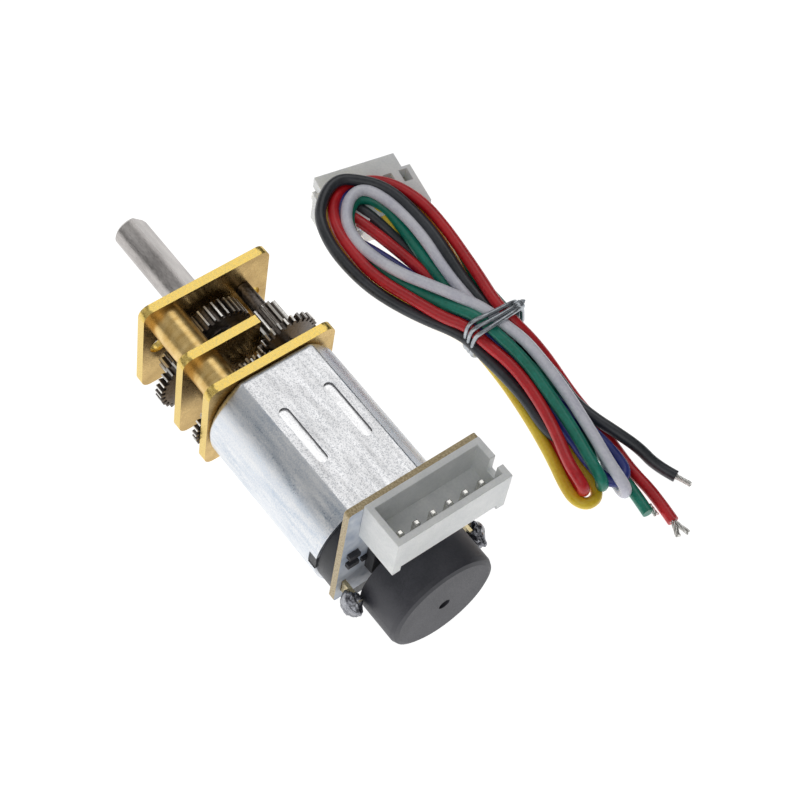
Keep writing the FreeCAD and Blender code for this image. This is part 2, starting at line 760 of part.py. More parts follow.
def build_rotor():
    """The rotor: its shaft, three-pole core, three coils and commutator."""
    shaft_front = "motor_pinion_pinion_front"
    keep(rod("rotor_radius", "rotor_end", shaft_front), "rotor_shaft")

    core = body("armature_core", base_x="core_front - core_length")
    drawing = sketch(core)
    circle(drawing, "0", "0", "core_hub")
    pad(core, drawing, "core_length")
    drawing = sketch(core)
    rectangle(drawing, "-arm_width / 2", "arm_width / 2", "core_hub - 0.3", "shoe_inner + 0.2")
    arm = pad(core, drawing, "core_length")
    drawing = sketch(core)
    outer, inner = size("core_radius"), size("shoe_inner")
    half = math.radians(47)
    centre_line = math.pi / 2
    for radius in (outer, inner):
        ring = Part.Circle(V(), V(0, 0, 1), radius)
        drawing.addGeometry(Part.ArcOfCircle(ring, centre_line - half, centre_line + half), False)
    ends = [V(math.cos(centre_line + turn), math.sin(centre_line + turn), 0)
            for turn in (half, -half)]
    for end in ends:
        drawing.addGeometry(Part.LineSegment(end * outer, end * inner), False)
    for arc, vertex, line, end in ((0, 2, 2, 1), (1, 2, 2, 2), (0, 1, 3, 1), (1, 1, 3, 2)):
        drawing.addConstraint(Sketcher.Constraint("Coincident", arc, vertex, line, end))
    for arc, radius in ((0, "core_radius"), (1, "shoe_inner")):
        drawing.addConstraint(Sketcher.Constraint("Coincident", arc, 3, -1, 1))
        index = drawing.addConstraint(Sketcher.Constraint("Radius", arc, size(radius)))
        drawing.setExpression(f"Constraints[{index}]", formula(radius))
    shoe = pad(core, drawing, "core_length")
    polar(core, [arm, shoe], 3)
    hole = rod("rotor_radius", "core_front - core_length", "core_front")
    keep(less(core, hole), "armature_core")

    rear, front = "core_front - core_length", "core_front"
    block_outer = block(f"{rear} - coil_overhang", f"{front} + coil_overhang", "-coil_side",
                        "coil_side", "coil_inner", "coil_outer")
    block_inner = block(rear, front, "-arm_width / 2", "arm_width / 2", "0", "core_radius")
    keep(group(*copies(less(block_outer, block_inner), 0, 120, 240)), "armature_coils")

    start, end = "commutator_rear", "commutator_rear + commutator_length"
    hub = less(rod("commutator_hub", start, f"{rear} - coil_overhang"),
               rod("rotor_radius", start, f"{rear} - coil_overhang"))
    keep(hub, "commutator_hub")
    shell = rod("commutator_radius", start, end)
    bind(shell, Angle="segment_angle")
    segment = less(shell, rod("commutator_hub", start, end))
    keep(group(*copies(segment, 0, 120, 240)), "commutator_segments")


def build_end_cap():
    """The moulded cap that closes the can, with its brushes and terminals."""
    piece = body("end_cap", base_x=CAP_REAR)
    drawing = sketch(piece)
    double_flat(drawing, "cap_radius", "cap_flat")
    pad(piece, drawing, "cap_length")
    drawing = sketch(piece)
    double_flat(drawing, "can_radius - can_wall", "can_flat - can_wall")
    pad(piece, drawing, "cap_length + cap_plug")
    drawing = sketch(piece, "YZ_Plane", "cap_length - cap_cavity_depth")
    circle(drawing, "0", "0", "cap_cavity_radius")
    pocket(piece, drawing, "cap_cavity_depth + cap_plug")
    drawing = sketch(piece)
    circle(drawing, "0", "0", "rear_bearing_radius")
    pocket(piece, drawing, "cap_length")
    drawing = sketch(piece)
    half_slot = "terminal_width / 2 + slot_gap"
    for side in ("terminal_side", "-terminal_side"):
        rectangle(drawing, f"{side} - terminal_thickness / 2 - slot_gap",
                  f"{side} + terminal_thickness / 2 + slot_gap", f"-({half_slot})", half_slot)
    pocket(piece, drawing, "cap_length + cap_plug")
    lug_low, lug_high = CAN_REAR, f"{CAN_REAR} + rim_notch_depth"
    lugs = []
    for side in (1, -1):
        limits = ("can_radius - can_wall", "can_radius - 0.1")
        if side < 0:
            limits = ("0.1 - can_radius", "can_wall - can_radius")
        lug = block(lug_low, lug_high, *limits, "0.05 - rim_notch_width / 2",
                    "rim_notch_width / 2 - 0.05")
        lugs.append(lug)
    channel = block("terminal_front - 0.2", "terminal_front", "-terminal_side", "terminal_side",
                    "-brush_height / 2", "brush_height / 2")
    keep(less(fused(piece, *lugs), channel), "end_cap")

    blades, springs = [], []
    for side in (1, -1):
        low = f"{side} * terminal_side - terminal_thickness / 2"
        high = f"{side} * terminal_side + terminal_thickness / 2"
        blades.append(block("terminal_rear", "terminal_front", low, high,
                            "-terminal_width / 2", "terminal_width / 2"))
        wipe = "commutator_radius + running_gap"
        limits = (wipe, f"{wipe} + brush_thickness")
        foot = (f"{wipe} + brush_thickness", "terminal_side - terminal_thickness / 2")
        if side < 0:
            limits = (f"-({limits[1]})", f"-({limits[0]})")
            foot = (f"-({foot[1]})", f"-({foot[0]})")
        front = "commutator_rear + commutator_length"
        finger = block("terminal_front - 0.2", front, *limits, "-brush_height / 2",
                       "brush_height / 2")
        tail = block("terminal_front - 0.2", "terminal_front", *foot, "-brush_height / 2",
                     "brush_height / 2")
        springs.append(fused(finger, tail))
    keep(group(*blades), "motor_terminals")
    keep(group(*springs), "brush_springs")


# ---------------------------------------------------------------- encoder
# The board's small parts: across, up, width and height of four resistors and a capacitor.
CHIPS = [(5.0, 4.6, 1.0, 0.5), (5.0, 3.4, 1.0, 0.5), (-5.0, 4.6, 1.0, 0.5),
         (-5.0, 3.4, 1.0, 0.5), (0.0, 5.7, 1.6, 0.8)]


def header_pins():
    """Six square pins, each bent from the board up into the header."""
    pins = []
    half = "pin_size / 2"
    across = f"{BOARD_REAR} - pin_row"
    for i in range(int(size("pin_count"))):
        side = f"header_centre + ({i} - (pin_count - 1) / 2) * pin_pitch"
        width = (f"{side} - {half}", f"{side} + {half}")
        upright = block(f"{across} - {half}", f"{across} + {half}", *width,
                        "header_bottom + 0.3", "pin_tip")
        tail = block(f"{across} + {half}", f"{CAP_REAR} + 0.5", *width,
                     "header_bottom + 0.3", "header_bottom + 0.3 + pin_size")
        pins.append(fused(upright, tail))
    return pins


def build_encoder():
    """The encoder board, its header, sensors, small parts and the magnet disc."""
    pins = group(*header_pins())
    board = body("encoder_board", base_x=BOARD_REAR)
    drawing = sketch(board)
    middle = "(board_top + board_bottom) / 2"
    rounded_rectangle(drawing, "board_width", "board_top - board_bottom", "board_corner",
                      "0", middle)
    pad(board, drawing, "board_thickness")
    drawing = sketch(board)
    circle(drawing, "0", "0", "board_hole")
    half_slot = "terminal_width / 2 + slot_gap"
    for side in ("terminal_side", "-terminal_side"):
        rectangle(drawing, f"{side} - terminal_thickness / 2 - slot_gap",
                  f"{side} + terminal_thickness / 2 + slot_gap", f"-({half_slot})", half_slot)
    pocket(board, drawing, "board_thickness")
    keep(less(board, pins), "encoder_board")

    low = "header_centre - header_width / 2"
    high = "header_centre + header_width / 2"
    rear = f"{BOARD_REAR} - header_depth"
    shell = block(rear, BOARD_REAR, low, high, "header_bottom", "header_top")
    cavity = block(f"{rear} + header_wall", f"{BOARD_REAR} - header_wall", f"{low} + header_wall",
                   f"{high} - header_wall", "header_bottom + header_floor", "header_top + 1")
    relief = block(f"{rear} - 1", f"{rear} + 1.1", f"{low} + 0.8", f"{high} - 0.8",
                   "header_bottom - 1", "header_bottom + header_foot")
    notch = block(f"{rear} + 1.2", f"{rear} + 2.0", f"{low} - 1", f"{low} + header_wall",
                  "header_top - 1.6", "header_top + 1")
    keep(less(shell, cavity, relief, notch, pins), "header_shell")
    keep(pins, "header_pins")

    blobs = []
    for side, name in ((1, ""), (-1, "-")):
        place = f"{name}(terminal_side + 0.25)"
        blob = cone("solder_tip", "solder_base", f"{BOARD_REAR} - solder_length", BOARD_REAR,
                    place)
        low_y = f"{name}terminal_side - terminal_thickness / 2"
        high_y = f"{name}terminal_side + terminal_thickness / 2"
        blade = block("terminal_rear", BOARD_REAR, low_y, high_y, "-terminal_width / 2",
                      "terminal_width / 2")
        blobs.append(less(blob, blade))
    keep(group(*blobs), "solder_joints")

    sensors = []
    for name in ("", "-"):
        side = f"{name}sensor_side"
        case = block(f"{BOARD_REAR} - sensor_height", f"{BOARD_REAR} - 0.1",
                     f"{side} - sensor_width / 2", f"{side} + sensor_width / 2",
                     "sensor_low", "sensor_high")
        inner, outer = "sensor_width / 2 - 0.05", "sensor_leg_reach"
        legs = [block(f"{BOARD_REAR} - 0.25", BOARD_REAR, f"{side} + {start}", f"{side} + {end}",
                      rise, f"{rise} + sensor_leg")
                for start, end, rise in ((f"-({outer})", f"-({inner})", "sensor_low + 0.4"),
                                         (f"-({outer})", f"-({inner})", "sensor_high - 0.8"),
                                         (inner, outer, "(sensor_low + sensor_high) / 2 - 0.2"))]
        sensors.append(fused(case, *legs))
    keep(group(*sensors), "hall_sensors")

    chips = [block(f"{BOARD_REAR} - chip_height", BOARD_REAR, f"{across} - {width} / 2",
                   f"{across} + {width} / 2", f"{up} - {height} / 2", f"{up} + {height} / 2")
             for across, up, width, height in CHIPS]
    keep(group(*chips), "board_components")

    disc = turned("magnet_disc", [
        ("0", "rotor_radius"),
        ("disc_thickness", "rotor_radius"),
        ("disc_thickness", "disc_radius"),
        ("disc_edge", "disc_radius"),
        ("disc_edge * 0.3", "disc_radius - disc_edge * 0.3"),
        ("0", "disc_radius - disc_edge")], base_x="disc_front - disc_thickness")
    keep(disc, "magnet_disc")


# ---------------------------------------------------------------- lead set
# Plan outlines of the tied bundle: its lower layers, and the open loop that lies on the plug.
HANK_LOWER = [(-9.0, -23.1), (-13.2, -22.6), (-24.0, -23.2), (-31.0, -21.2), (-31.0, -16.7),
              (-27.0, -16.0), (-13.4, -18.3), (-6.0, -13.4), (-0.5, -13.0)]
HANK_UPPER = [(6.0, -17.0), (5.6, -19.8), (3.5, -22.2), (-2.0, -23.6), (-9.0, -23.1),
              (-13.2, -22.6), (-17.0, -22.7), (-17.0, -19.0), (-12.4, -18.3), (-6.0, -13.8),
              (-1.5, -12.8), (3.0, -13.4)]
# Centre lines of the three free wire ends that lie beyond the bundle.
TAILS = {
    "black_wire_end": [(-21.8, -22.0, -3.5), (-24.1, -22.2, -3.3), (-26.4, -22.9, -3.3),
                       (-28.4, -23.7, -3.7), (-30.2, -24.2, -4.5), (-31.9, -24.9, -4.5)],
    "red_wire_end": [(-22.0, -22.8, -4.5), (-24.6, -22.8, -4.5), (-27.0, -22.5, -4.5),
                     (-29.5, -22.2, -4.5), (-32.2, -22.3, -4.5), (-34.9, -21.9, -4.5)],
    "green_wire_end": [(-25.6, -21.0, -4.5), (-28.2, -21.2, -4.5), (-30.8, -21.1, -4.5),
                       (-33.2, -20.7, -4.5)],
}
TINNED_LENGTHS = {"black_wire_end": 1.5, "red_wire_end": 1.6, "green_wire_end": 0.7}
TINNED_RADIUS = 0.28


def rounded_path(points):
    """Straight runs joined by tangent arcs, as large as the runs beside them allow."""
    places = [V(*point) for point in points]
    edges = []
    start = places[0]
    for before, corner, after in zip(places, places[1:], places[2:]):
        incoming, outgoing = corner - before, after - corner
        turn = incoming.getAngle(outgoing)
        setback = 0.45 * min(incoming.Length, outgoing.Length)
        radius = setback / math.tan(turn / 2)
        bend_start = corner - incoming.normalize() * setback
        bend_end = corner + outgoing.normalize() * setback
        inward = (bend_start + bend_end) / 2 - corner
        middle = corner + inward * (1 / math.cos(turn / 2) - 1) * radius / inward.Length
        edges.append(Part.LineSegment(start, bend_start).toShape())
        edges.append(Part.Arc(bend_start, middle, bend_end).toShape())
        print(f"wire bend radius {radius:.2f} mm")
        start = bend_end
    edges.append(Part.LineSegment(start, places[-1]).toShape())
    return Part.Wire(edges)


def tube(points, radius):
    """A round tube along a rounded path."""
    path = rounded_path(points)
    start = V(*points[0])
    along = V(*points[1]) - start
    section = Part.Wire(Part.makeCircle(radius, start, along))
    solid = path.makePipeShell([section], True, False)
    expected = math.pi * radius ** 2 * path.Length
    if abs(solid.Volume - expected) > 0.03 * expected:
        raise RuntimeError(f"tube volume {solid.Volume:.3f}, expected {expected:.3f}")
    return solid


def rounded_prism(corners, radius, low, high):
    """An upright prism whose plan outline has rounded corners."""
    places = [V(a, b, low) for a, b in corners]
    edges = []
    ends = []
    for i, corner in enumerate(places):
        incoming = (places[i - 1] - corner).normalize()
        outgoing = (places[(i + 1) % len(places)] - corner).normalize()
        half = incoming.getAngle(outgoing) / 2
        setback = radius / math.tan(half)
        bisector = (incoming + outgoing).normalize()
        start, end = corner + incoming * setback, corner + outgoing * setback
        middle = corner + bisector * (radius / math.sin(half) - radius)
        edges.append(Part.Arc(start, middle, end).toShape())
        ends.append((start, end))
    for (_, end), (start, _) in zip(ends, ends[1:] + ends[:1]):
        edges.append(Part.LineSegment(end, start).toShape())
    wire = Part.Wire(Part.__sortEdges__(edges))
    return Part.Face(wire).extrude(V(0, 0, high - low))


def plug_frame():
    """The plug's own axes: origin at its rear face, X towards its mating end."""
    turn = FreeCAD.Rotation(V(0, 0, 1), size("plug_turn"))
    back = turn.multVec(V(size("plug_length") + size("plug_tongue_length"), 0, 0))
    front = V(size("plug_front_x"), size("plug_front_y"), size("floor_level"))
    return FreeCAD.Placement(front - back, turn)


def build_plug():
    """The white six-way plug and the crimp contacts inside it."""
    total = "plug_length + plug_tongue_length"
    shell = fused(block("0", "plug_length", "-plug_width / 2", "plug_width / 2", "0",
                        "plug_height"),
                  block("plug_length", total, "-plug_tongue_width / 2", "plug_tongue_width / 2",
                        "0.3", "plug_height"))
    bores, windows, crimps = [], [], []
    for i in range(int(size("pin_count"))):
        side = f"({i} - (pin_count - 1) / 2) * pin_pitch"
        bores.append(rod("crimp_bore", "0", "crimp_depth", side, "plug_height / 2"))
        bores.append(block("crimp_depth", total, f"{side} - 0.4", f"{side} + 0.4",
                           "plug_height / 2 - 0.4", "plug_height / 2 + 0.4"))
        windows.append(block("crimp_depth - 0.4", "crimp_depth + 0.9", f"{side} - 0.4",
                             f"{side} + 0.4", "plug_height / 2", "plug_height + 1"))
        crimps.append(block("crimp_depth - 0.3", f"{total} - 0.5", f"{side} - 0.36",
                            f"{side} + 0.36", "plug_height / 2 - 0.36", "plug_height / 2 + 0.36"))
    for piece, label in ((less(shell, *bores, *windows), "plug_housing"),
                         (group(*crimps), "plug_contacts")):
        piece.Placement = plug_frame()
        keep(piece, label)


def build_tie():
    """Three turns of galvanised wire around the bundle, each a closed rounded loop."""
    radius = size("tie_wire_radius")
    half, height = size("tie_half_width"), size("tie_height")
    corner, centre = size("tie_corner"), size("tie_centre")
    low = size("floor_level") + radius
    inner_half, inner_low, inner_high = half - corner, low + corner, low + height - corner
    arcs = [(inner_half, inner_low, -90), (inner_half, inner_high, 0),
            (-inner_half, inner_high, 90), (-inner_half, inner_low, 180)]
    loops = []
    for i in range(3):
        station = size("tie_start") + i * size("tie_pitch")

        def around(across, up, angle):
            a = math.radians(angle)
            return V(station, centre + across + corner * math.cos(a), up + corner * math.sin(a))

        edges = []
        for (across, up, angle), (after, above, turned_to) in zip(arcs, arcs[1:] + arcs[:1]):
            edges.append(Part.Arc(around(across, up, angle), around(across, up, angle + 45),
                                  around(across, up, angle + 90)).toShape())
            edges.append(Part.LineSegment(around(across, up, angle + 90),
                                          around(after, above, turned_to)).toShape())
        start = around(*arcs[0])
        section = Part.Wire(Part.makeCircle(radius, start, V(0, 1, 0)))
        loops.append(Part.Wire(edges).makePipeShell([section], True, False))
    feature = doc.addObject("Part::Feature", "TieLoops")
    feature.Shape = Part.makeCompound(loops)
    return keep(feature, "wire_tie")


def build_wires(tie):
    """The tied bundle as one plain solid, and the free wire ends with their tinned tips."""
    frame = plug_frame()
    rear_side = [frame.multVec(V(0, across, 0)) for across in (4.5, -4.2)]
    lower = [(point.x, point.y) for point in rear_side] + HANK_LOWER
    low, middle = size("floor_level"), size("floor_level") + size("plug_height")
    radius = size("wire_radius")
    hank = rounded_prism(lower, 0.2, low, middle)
    hank = hank.fuse(rounded_prism(HANK_UPPER, 0.2, middle, size("hank_top")))
    feature = doc.addObject("Part::Feature", "Bundle")
    feature.Shape = hank.cut(tie.Shape)
    keep(feature, "wire_bundle")

    tips = []
    for name, points in TAILS.items():
        feature = doc.addObject("Part::Feature", name)
        feature.Shape = tube(points, radius).cut(hank)
        keep(feature, name)
        end = V(*points[-1])
        along = (end - V(*points[-2])).normalize()
        tips.append(Part.makeCylinder(TINNED_RADIUS, TINNED_LENGTHS[name], end, along))
    feature = doc.addObject("Part::Feature", "Tips")
    feature.Shape = Part.makeCompound(tips)
    keep(feature, "tinned_wire_tips")


# ---------------------------------------------------------------- build, test and write
build_gears()
build_plates()
build_shafts()
build_can()
build_bearings()
build_magnets()
build_rotor()
build_end_cap()
build_encoder()
build_plug()
build_wires(build_tie())
doc.recompute()

for item in doc.Objects:
    if "Invalid" in item.State or "Error" in item.State:
        raise RuntimeError(f"{item.Label} did not rebuild: {item.State}")
for piece in kept:
    if piece.Shape.isNull() or not piece.Shape.isValid():
        raise RuntimeError(f"{piece.Label} has no valid shape")
for piece in kept:
    piece.Shape.exportStep(f"parts/{piece.Label}.step")
print(f"{len(kept)} sub-parts written")
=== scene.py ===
"""A small geared DC motor and its tied lead set: materials, wires, light and camera."""
import math
import random

import bmesh
import bpy
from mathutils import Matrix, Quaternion, Vector, noise


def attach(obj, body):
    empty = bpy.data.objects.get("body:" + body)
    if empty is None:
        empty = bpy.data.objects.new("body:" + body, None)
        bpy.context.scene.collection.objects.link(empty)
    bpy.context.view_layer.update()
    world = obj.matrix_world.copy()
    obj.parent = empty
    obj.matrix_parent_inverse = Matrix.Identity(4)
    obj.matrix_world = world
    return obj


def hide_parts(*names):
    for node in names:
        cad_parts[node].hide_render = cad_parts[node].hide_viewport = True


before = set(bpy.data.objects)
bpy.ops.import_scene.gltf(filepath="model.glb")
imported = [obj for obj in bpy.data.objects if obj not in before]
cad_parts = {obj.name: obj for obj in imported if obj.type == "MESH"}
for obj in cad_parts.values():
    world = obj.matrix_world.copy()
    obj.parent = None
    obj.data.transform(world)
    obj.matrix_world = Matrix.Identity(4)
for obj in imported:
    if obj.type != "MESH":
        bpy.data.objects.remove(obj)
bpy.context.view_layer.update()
scene = bpy.context.scene
MM = 0.001

# ---------------------------------------------------------------- sizes, in millimetres
WIRE_RADIUS = 0.5
TIE_RADIUS = 0.2
STRAND_RADIUS = 0.1
STRAND_SPREAD, STRAND_FRAY = 0.17, 0.08
STRAND_TWIST = 3.4
STRAND_STEPS = 8
TIE_CENTRE = -20.5
TIE_HALF_WIDTH = 2.5
TIE_LOW, TIE_HIGH = -4.8, -0.2
TIE_START, TIE_END = -13.9, -12.4
TIE_TURNS = 3
TIE_STEPS = 24
TIE_SQUARENESS = 0.55
TIE_WANDER = 0.22

# The heights between which the can's surface belongs to its two pressed grooves.
GROOVE_LOW, GROOVE_HIGH = 4.75, 4.97

# The six wires, each from the plug through the tie to the folds, back through the tie to the
# loop that lies on the plug, and into the tie once more. Black, red and green then run on to
# their bare tips, and white, yellow and blue end hidden just past the tie.
WIRES = {
    "black": [
        (4.3, -17.9, -2.4), (2.8, -18.3, -1.95), (1.0, -18.8, -2.0), (-2.0, -19.6, -3.0),
        (-5.5, -20.5, -3.5), (-9.0, -21.4, -3.3), (-12.0, -21.9, -2.95), (-14.2, -21.9, -2.95),
        (-16.8, -21.5, -3.4), (-19.8, -20.7, -3.65), (-22.0, -20.7, -3.7), (-23.5, -20.7, -3.7),
        (-24.5, -20.15, -3.7), (-24.5, -19.05, -3.7), (-23.5, -18.5, -3.7), (-22.0, -18.5, -3.7),
        (-19.8, -18.8, -3.5), (-17.0, -18.65, -3.2), (-14.2, -18.3, -3.0), (-12.0, -18.2, -3.0),
        (-8.6, -15.9, -2.6), (-5.3, -14.15, -1.9), (-2.65, -13.45, -1.3), (0.0, -13.3, -0.8),
        (2.5, -13.95, -0.5), (3.9, -15.15, -0.5), (4.9, -16.7, -0.35), (5.0, -18.1, -0.35),
        (4.1, -19.2, -0.35), (2.95, -20.3, -0.4), (1.3, -21.05, -0.5), (-1.0, -21.35, -0.7),
        (-3.6, -21.5, -1.0), (-6.6, -21.2, -1.4), (-9.0, -21.0, -1.8), (-12.0, -21.05, -1.85),
        (-14.2, -21.1, -1.9), (-16.2, -21.4, -2.2), (-18.6, -22.0, -2.8), (-20.4, -22.2, -3.3),
        (-21.8, -22.0, -3.5), (-24.1, -22.2, -3.3), (-26.4, -22.9, -3.3), (-28.4, -23.7, -3.7),
        (-30.2, -24.2, -4.5), (-31.9, -24.9, -4.5)],
    "red": [
        (3.7, -16.9, -2.4), (2.4, -17.2, -1.9), (0.4, -17.8, -1.95), (-3.2, -18.8, -2.5),
        (-7.4, -19.8, -3.3), (-12.0, -20.55, -3.6), (-14.2, -20.5, -3.6), (-17.0, -20.1, -3.7),
        (-19.5, -19.7, -4.0), (-22.0, -19.2, -4.4), (-24.5, -18.5, -4.5), (-26.6, -17.95, -4.5),
        (-28.0, -17.65, -4.5), (-28.9, -17.35, -4.05), (-29.0, -17.05, -2.95),
        (-28.1, -17.0, -2.4), (-26.8, -17.2, -2.4), (-23.5, -18.5, -2.65), (-20.1, -19.15, -2.4),
        (-17.0, -19.25, -2.1), (-14.2, -18.7, -2.0), (-12.0, -18.5, -2.0), (-10.3, -17.3, -1.9),
        (-7.8, -16.2, -1.6), (-4.4, -14.7, -1.2), (-1.65, -14.45, -0.9), (0.9, -14.65, -0.7),
        (3.0, -15.65, -0.9), (4.2, -17.0, -1.2), (4.65, -18.3, -1.35), (4.5, -19.6, -1.35),
        (3.8, -20.7, -1.1), (2.6, -21.55, -0.8), (1.0, -22.3, -0.8), (-1.1, -22.75, -0.85),
        (-3.85, -22.7, -1.0), (-6.3, -22.5, -1.25), (-8.9, -22.1, -1.2), (-12.0, -21.45, -1.05),
        (-14.2, -21.6, -1.2), (-15.8, -22.3, -2.2), (-17.6, -22.8, -3.3), (-19.6, -22.9, -4.1),
        (-22.0, -22.8, -4.5), (-24.6, -22.8, -4.5), (-27.0, -22.5, -4.5), (-29.5, -22.2, -4.5),
        (-32.2, -22.3, -4.5), (-34.9, -21.9, -4.5)],
    "green": [
        (1.5, -23.5, -3.4), (0.0, -23.2, -3.4), (-2.6, -22.9, -3.2), (-6.0, -22.5, -2.7),
        (-9.0, -22.3, -2.2), (-12.0, -22.2, -2.0), (-14.2, -22.2, -2.2), (-16.4, -22.1, -2.9),
        (-18.8, -21.9, -3.6), (-21.2, -21.6, -4.1), (-22.8, -21.0, -4.5), (-24.4, -20.4, -4.5),
        (-26.0, -20.0, -4.5), (-27.3, -19.7, -4.5), (-28.5, -19.25, -4.5), (-29.4, -18.9, -4.05),
        (-29.5, -18.65, -2.95), (-28.6, -18.65, -2.4), (-27.2, -18.95, -2.4),
        (-24.4, -19.55, -2.25), (-21.1, -19.9, -2.0), (-17.6, -20.15, -1.6), (-14.2, -19.65, -1.2),
        (-12.0, -19.3, -1.15), (-10.0, -18.3, -1.5), (-7.4, -17.0, -1.6), (-4.6, -15.9, -1.6),
        (-1.8, -15.4, -1.5), (0.8, -15.9, -1.4), (2.4, -17.0, -1.35), (3.2, -18.3, -1.35),
        (2.6, -19.5, -1.4), (1.2, -20.2, -1.8), (-0.8, -20.3, -2.1), (-3.0, -20.1, -2.3),
        (-6.6, -19.9, -2.5), (-9.4, -19.9, -2.75), (-12.0, -20.1, -2.85), (-14.2, -20.2, -2.85),
        (-16.8, -20.6, -2.8), (-19.4, -21.2, -2.9), (-21.8, -21.35, -3.0), (-23.8, -21.3, -3.9),
        (-25.6, -21.0, -4.5), (-28.2, -21.2, -4.5), (-30.8, -21.1, -4.5), (-33.2, -20.7, -4.5)],
    "white": [
        (2.4, -21.9, -3.0), (1.0, -21.6, -2.9), (-1.0, -21.1, -3.4), (-4.0, -21.0, -4.1),
        (-8.0, -21.1, -4.3), (-12.0, -21.2, -4.15), (-14.2, -21.3, -4.2), (-17.2, -21.6, -4.5),
        (-20.0, -22.1, -4.5), (-22.6, -22.0, -4.5), (-24.8, -21.7, -4.3), (-26.6, -21.1, -3.8),
        (-28.4, -20.6, -4.3), (-29.9, -20.3, -4.5), (-30.9, -20.0, -4.05), (-31.0, -19.85, -2.95),
        (-30.0, -19.75, -2.35), (-28.6, -19.95, -2.35), (-25.4, -20.6, -2.2),
        (-21.4, -21.15, -1.8), (-18.0, -21.25, -1.4), (-16.0, -21.1, -1.1), (-14.2, -20.6, -0.9),
        (-12.0, -20.2, -0.85), (-9.5, -18.8, -0.7), (-7.55, -17.6, -0.6), (-5.55, -16.4, -0.6),
        (-3.15, -15.55, -0.6), (-0.9, -15.2, -0.5), (0.9, -15.6, -0.5), (2.2, -16.5, -0.5),
        (3.1, -17.6, -0.5), (3.3, -18.8, -0.5), (2.6, -19.6, -0.55), (1.2, -20.2, -0.75),
        (-0.4, -20.55, -0.95), (-2.0, -20.7, -1.15), (-3.9, -20.65, -1.35), (-5.8, -20.5, -1.7),
        (-8.6, -20.3, -1.9), (-12.0, -20.2, -1.9), (-14.2, -20.3, -2.0), (-15.6, -20.4, -2.1)],
    "yellow": [
        (3.6, -19.3, -2.9), (2.4, -19.4, -2.3), (1.0, -19.7, -2.2), (-1.4, -20.0, -3.2),
        (-4.5, -20.0, -4.1), (-8.5, -19.8, -4.3), (-12.0, -19.75, -4.15), (-14.2, -19.85, -4.2),
        (-17.2, -20.2, -4.5), (-20.6, -20.4, -4.5), (-23.8, -19.6, -4.5), (-25.6, -19.2, -4.5),
        (-27.2, -18.9, -4.5), (-28.7, -18.8, -4.5), (-29.75, -18.25, -4.5), (-29.85, -17.1, -4.5),
        (-28.9, -16.5, -4.5), (-27.4, -16.7, -4.5), (-25.2, -17.4, -4.5), (-22.4, -18.1, -4.5),
        (-19.4, -18.65, -4.5), (-16.8, -18.95, -4.4), (-14.2, -18.95, -4.1), (-12.0, -18.9, -4.05),
        (-9.2, -17.9, -3.7), (-6.2, -16.2, -3.1), (-3.2, -14.8, -2.3), (-0.6, -14.1, -1.6),
        (2.0, -14.7, -1.5), (3.5, -15.3, -1.35), (4.6, -16.2, -1.35), (5.2, -17.6, -1.35),
        (5.2, -19.0, -1.35), (4.3, -20.2, -1.35), (2.9, -21.1, -1.45), (1.2, -21.9, -1.6),
        (-0.6, -22.4, -1.95), (-3.2, -22.4, -2.25), (-6.2, -21.9, -2.3), (-9.2, -21.3, -2.6),
        (-12.0, -21.0, -2.75), (-14.2, -21.0, -2.8), (-15.2, -21.0, -2.85)],
    "blue": [
        (3.0, -16.2, -3.2), (1.5, -16.0, -3.0), (-0.6, -16.9, -2.9), (-3.8, -18.0, -3.0),
        (-7.8, -18.8, -3.1), (-12.0, -19.2, -3.15), (-14.2, -19.3, -3.15), (-17.0, -19.6, -3.2),
        (-20.0, -19.75, -3.1), (-22.6, -19.6, -2.95), (-25.0, -19.35, -3.1), (-26.8, -19.15, -3.3),
        (-28.4, -19.1, -3.3), (-29.6, -19.3, -3.3), (-30.1, -20.2, -3.3), (-29.6, -21.1, -3.3),
        (-28.4, -21.3, -3.2), (-26.4, -21.2, -3.0), (-23.5, -20.8, -3.0), (-20.5, -20.3, -2.85),
        (-17.0, -20.0, -2.5), (-14.2, -19.4, -2.2), (-12.0, -19.3, -2.2), (-9.6, -18.2, -2.4),
        (-7.0, -16.9, -2.4), (-4.2, -15.6, -2.1), (-1.4, -14.9, -1.9), (0.8, -15.2, -1.6),
        (2.6, -16.1, -1.5), (3.7, -17.5, -1.4), (3.9, -18.8, -1.4), (3.3, -20.1, -1.4),
        (2.0, -21.0, -1.5), (0.0, -21.6, -1.9), (-3.0, -21.8, -2.2), (-6.0, -21.5, -3.1),
        (-9.0, -21.9, -3.8), (-12.0, -22.05, -3.85), (-14.2, -22.1, -3.9), (-16.0, -22.3, -4.2)],
}


